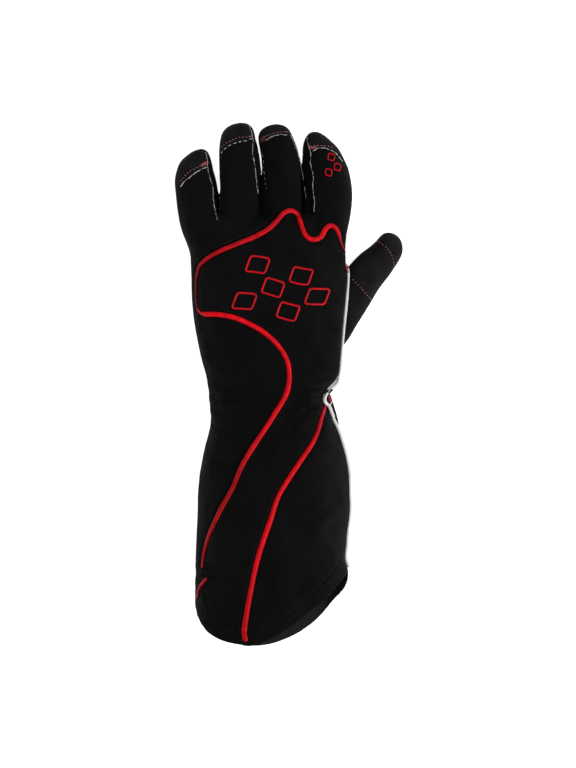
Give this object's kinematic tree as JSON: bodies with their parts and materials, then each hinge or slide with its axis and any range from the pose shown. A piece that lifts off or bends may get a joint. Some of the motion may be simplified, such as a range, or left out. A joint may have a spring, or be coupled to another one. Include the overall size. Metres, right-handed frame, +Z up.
{
  "type": "karting glove",
  "caption": "Long-gauntlet left karting glove in black cloth and suede, with red corded piping, a white side seam and an open flared cuff.",
  "frame": {"origin": "middle of the glove's outline seen from above, on the surface it lies on", "axes": "+Y along the glove from the cuff to the fingertips, +X to the thumb side, +Z up out of the back of the hand"},
  "size_m": [0.1582, 0.3664, 0.0583],
  "materials": {
    "black_cloth": "matte",
    "black_suede": "matte",
    "gusset_knit": "matte",
    "red_piping": "satin",
    "white_piping": "satin"
  },
  "bodies": {
    "root": {"knuckle_panel": "black_cloth", "finger_back_little": "black_cloth", "finger_back_ring": "black_cloth", "finger_back_middle": "black_cloth", "finger_back_index": "black_cloth", "hand_back_panel": "black_cloth", "ulnar_side_panel": "black_cloth", "radial_cuff_panel": "black_cloth", "palm_panel": "black_suede", "finger_palm_little": "black_suede", "finger_palm_ring": "black_suede", "finger_palm_middle": "black_suede", "finger_palm_index": "black_suede", "palm_cuff_panel": "black_cloth", "gusset_little_ring": "gusset_knit", "gusset_ring_middle": "gusset_knit", "gusset_middle_index": "gusset_knit", "fingertip_cap_little": "black_suede", "fingertip_cap_ring": "black_suede", "fingertip_cap_middle": "black_suede", "fingertip_cap_index": "black_suede", "thumb_base": "black_suede", "thumb_middle": "black_suede", "thumb_tip": "black_suede", "knuckle_piping": "red_piping", "heel_piping": "red_piping", "cuff_piping": "red_piping", "wrist_piping_end": "red_piping", "side_piping_hand": "white_piping", "side_piping_cuff": "white_piping", "wrist_loop": "white_piping"}
  },
  "joints": []
}
